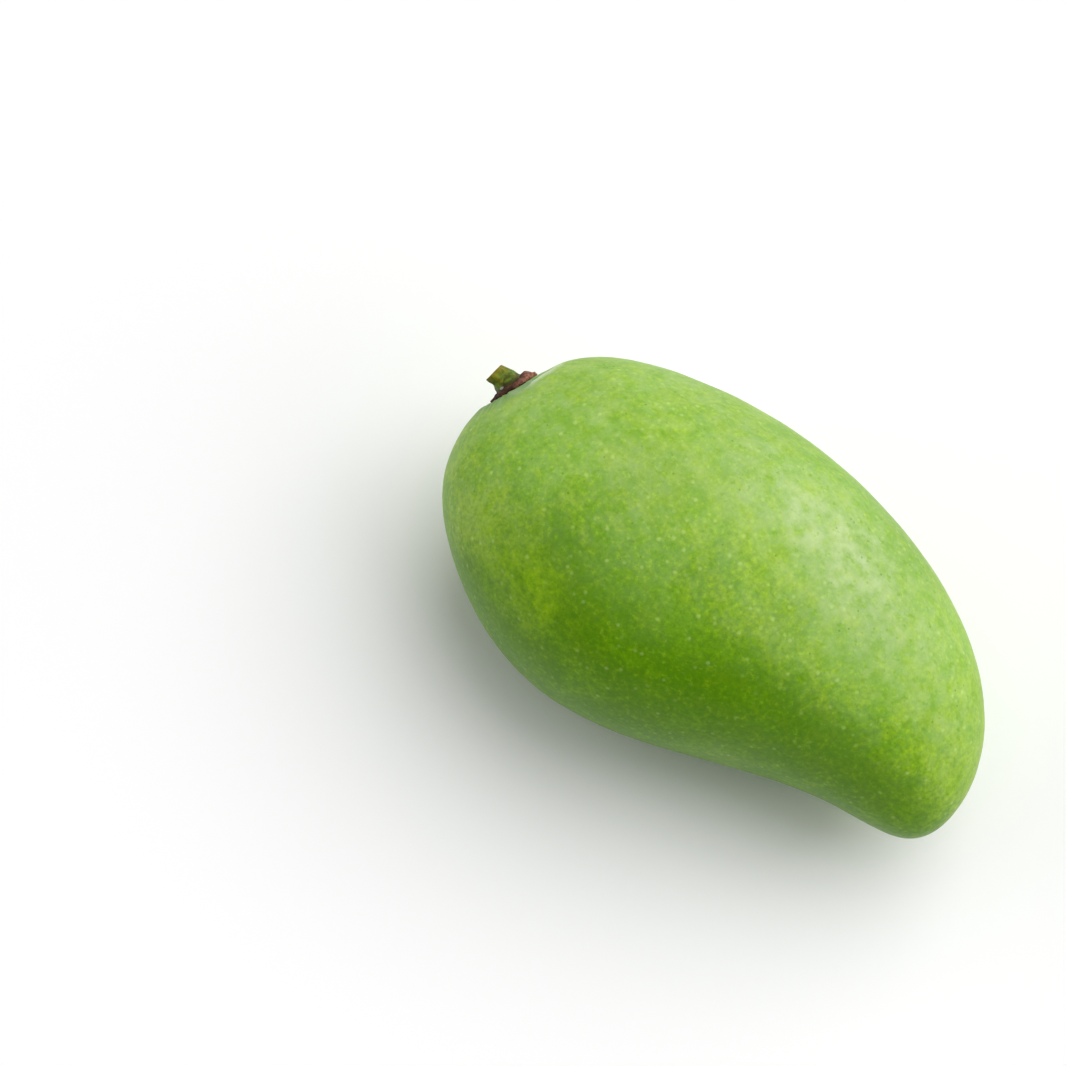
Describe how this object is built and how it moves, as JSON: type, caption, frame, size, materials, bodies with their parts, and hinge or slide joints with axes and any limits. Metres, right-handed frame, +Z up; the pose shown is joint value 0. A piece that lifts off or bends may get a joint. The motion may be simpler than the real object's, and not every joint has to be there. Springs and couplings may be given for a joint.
{
  "type": "mango",
  "caption": "Whole green mango lying on its cheek, with a dried collar and a short cut stub of stem at its broad end.",
  "frame": {"origin": "middle of the small flat spot on the lower cheek that the fruit rests on, under its weight", "axes": "+X along the fruit from the stem end to the tip, +Y towards its back, +Z up out of the upper cheek"},
  "size_m": [0.1401, 0.0847, 0.0706],
  "materials": {
    "skin": "waxy green skin with a pale bloom and fine pale dots",
    "collar": "dry dark red-brown scar tissue",
    "stem": "olive green bark, brown at the cut"
  },
  "bodies": {
    "root": {"mango_fruit": "skin", "stem_collar": "collar", "stem_stub": "stem"}
  },
  "joints": []
}
